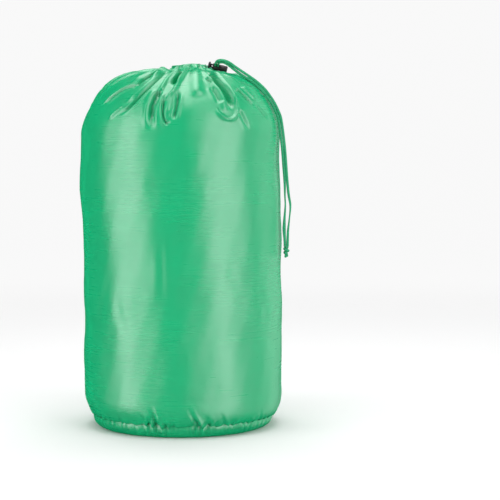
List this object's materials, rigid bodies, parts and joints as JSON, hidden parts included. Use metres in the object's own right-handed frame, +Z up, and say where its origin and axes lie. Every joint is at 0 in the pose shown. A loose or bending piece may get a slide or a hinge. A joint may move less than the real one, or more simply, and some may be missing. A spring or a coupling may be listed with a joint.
{
  "type": "packed camp quilt",
  "caption": "Camp quilt rolled inside an upright round drawstring stuff sack, with a sprung cord lock and knotted cord tails.",
  "frame": {"origin": "on the floor, at the sack's vertical axis", "axes": "+Z up; +X towards the cord lock and the hanging tails; -Y is the front"},
  "size_m": [0.262, 0.25, 0.4595],
  "materials": {
    "sack_satin": "satin woven polyester, green",
    "binding_tape": "matte woven tape, green",
    "drawcord": "flat woven cord, green",
    "lock_plastic": "fine moulded texture, black",
    "spring_steel": "bright drawn wire",
    "quilt_shell_cloth": "fine woven shell cloth",
    "quilt_fill_sheet": "lofted insulation",
    "quilt_liner_cloth": "soft woven liner cloth"
  },
  "bodies": {
    "sack": {"sack_wall": "sack_satin", "sack_base": "sack_satin", "base_seam_binding": "binding_tape", "side_seam_binding": "binding_tape", "drawcord_channel": "sack_satin", "drawcord_loop": "drawcord", "drawcord_tail_outer": "drawcord", "drawcord_tail_inner": "drawcord", "drawcord_knot": "drawcord", "quilt_shell": "quilt_shell_cloth", "quilt_fill": "quilt_fill_sheet", "quilt_liner": "quilt_liner_cloth", "quilt_edge_binding_upper": "binding_tape", "quilt_edge_binding_lower": "binding_tape"},
    "cord_lock": {"lock_barrel": "lock_plastic", "lock_spring": "spring_steel"},
    "lock_button": {"lock_plunger": "lock_plastic"}
  },
  "joints": [
    {"name": "lock_slide", "type": "slide", "parent": "sack", "child": "cord_lock", "axis": [0.121, -0.866, 0.4851], "range_m": [0, 0.004]},
    {"name": "button_press", "type": "slide", "parent": "cord_lock", "child": "lock_button", "axis": [0.9703, 0, -0.2419], "range_m": [0, 0.003], "stiffness_N_per_m": 900, "springref_m": -0.003, "deforming": ["lock_spring"]}
  ]
}
